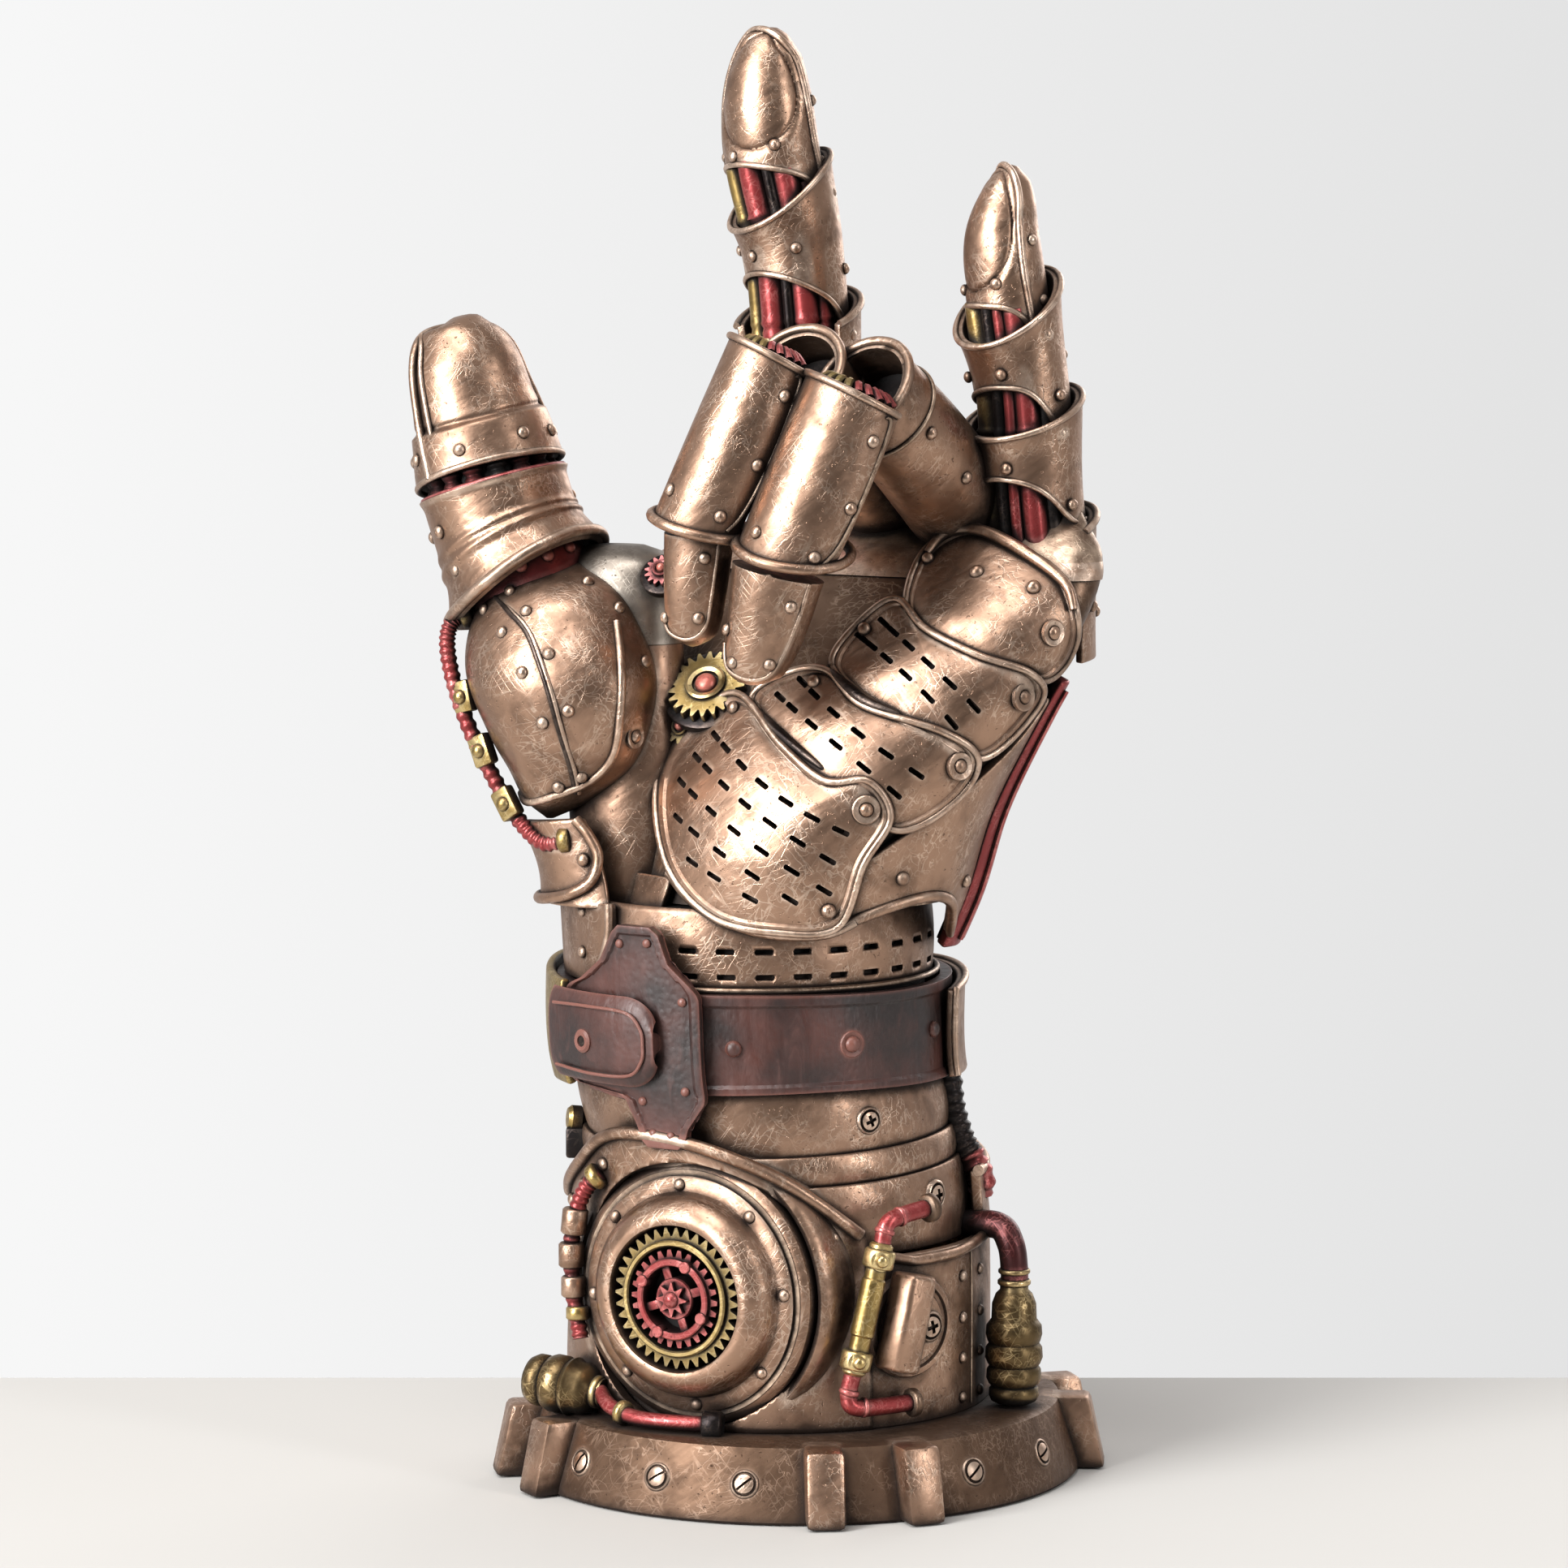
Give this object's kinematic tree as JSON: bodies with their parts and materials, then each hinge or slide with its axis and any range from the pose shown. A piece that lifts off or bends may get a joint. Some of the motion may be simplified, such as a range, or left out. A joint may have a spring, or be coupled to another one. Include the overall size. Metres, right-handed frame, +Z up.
{
  "type": "armoured gauntlet statuette on gear base",
  "caption": "Left hand in riveted plate armour, two fingers and thumb raised and two curled, on a wide gear-shaped base, with a geared dial, tubes and strap.",
  "frame": {"origin": "middle of the gear-shaped base's underside, where the statuette stands on a surface", "axes": "+Z up towards the raised index finger; -Y is the palm side that faces the viewer; +X is the little-finger side"},
  "size_m": [0.1133, 0.1013, 0.2347],
  "materials": {
    "antique_bronze": "cold-cast bronze, satin, dark in the recesses and rubbed bright on the edges",
    "aged_gold": "dull gold paint over black, rubbed bright on the high edges",
    "red_metal": "metallic red paint with black washed into the recesses",
    "brown_leather": "dark red-brown, satin, rubbed redder along the edges",
    "black_metal": "satin black with gold rubbed over the raised bands"
  },
  "bodies": {
    "root": {"gear_base": "antique_bronze", "dial_boss": "antique_bronze", "dial_ring": "antique_bronze", "dial_gear_gold": "aged_gold", "dial_gear_red": "red_metal", "pipe_barrel": "aged_gold", "pipe_upper": "red_metal", "pipe_lower": "red_metal", "relay_block": "antique_bronze", "screw_plate": "antique_bronze", "canister_right": "black_metal", "canister_left": "black_metal", "canister_left_pipe": "red_metal", "cuff_hose": "red_metal", "cuff_cable": "black_metal", "strap_tongue": "brown_leather", "strap_loop": "antique_bronze", "cross_plate": "brown_leather", "wrist_plate_right": "antique_bronze", "strap": "brown_leather", "front_shield": "antique_bronze", "cuff_wall": "antique_bronze", "rear_shield": "antique_bronze", "band_upper": "antique_bronze", "band_middle": "antique_bronze", "band_lower": "antique_bronze", "thumb_cap": "antique_bronze", "thumb_cuff": "antique_bronze", "thenar_dome": "antique_bronze", "thumb_rods": "red_metal", "thenar_hose": "red_metal", "thumb_guard": "antique_bronze", "palm_plate_low": "antique_bronze", "palm_plate_middle": "antique_bronze", "palm_plate_high": "antique_bronze", "knuckle_plate": "antique_bronze", "heel_plate": "antique_bronze", "red_spine": "red_metal", "hand_back": "antique_bronze", "palm_gear_big": "aged_gold", "wrist_plate_left": "antique_bronze", "wrist_band": "antique_bronze", "index_cap": "antique_bronze", "index_ring": "antique_bronze", "index_base": "antique_bronze", "pinky_cap": "antique_bronze", "pinky_ring_upper": "antique_bronze", "pinky_ring_lower": "antique_bronze", "pinky_base": "antique_bronze", "ring_plate": "antique_bronze", "middle_plate": "antique_bronze", "ring_tip": "antique_bronze", "middle_tip": "antique_bronze", "ring_root": "antique_bronze", "middle_root": "antique_bronze", "index_rods": "red_metal", "pinky_rods": "red_metal", "palm_core": "antique_bronze", "forearm_core": "antique_bronze"}
  },
  "joints": []
}
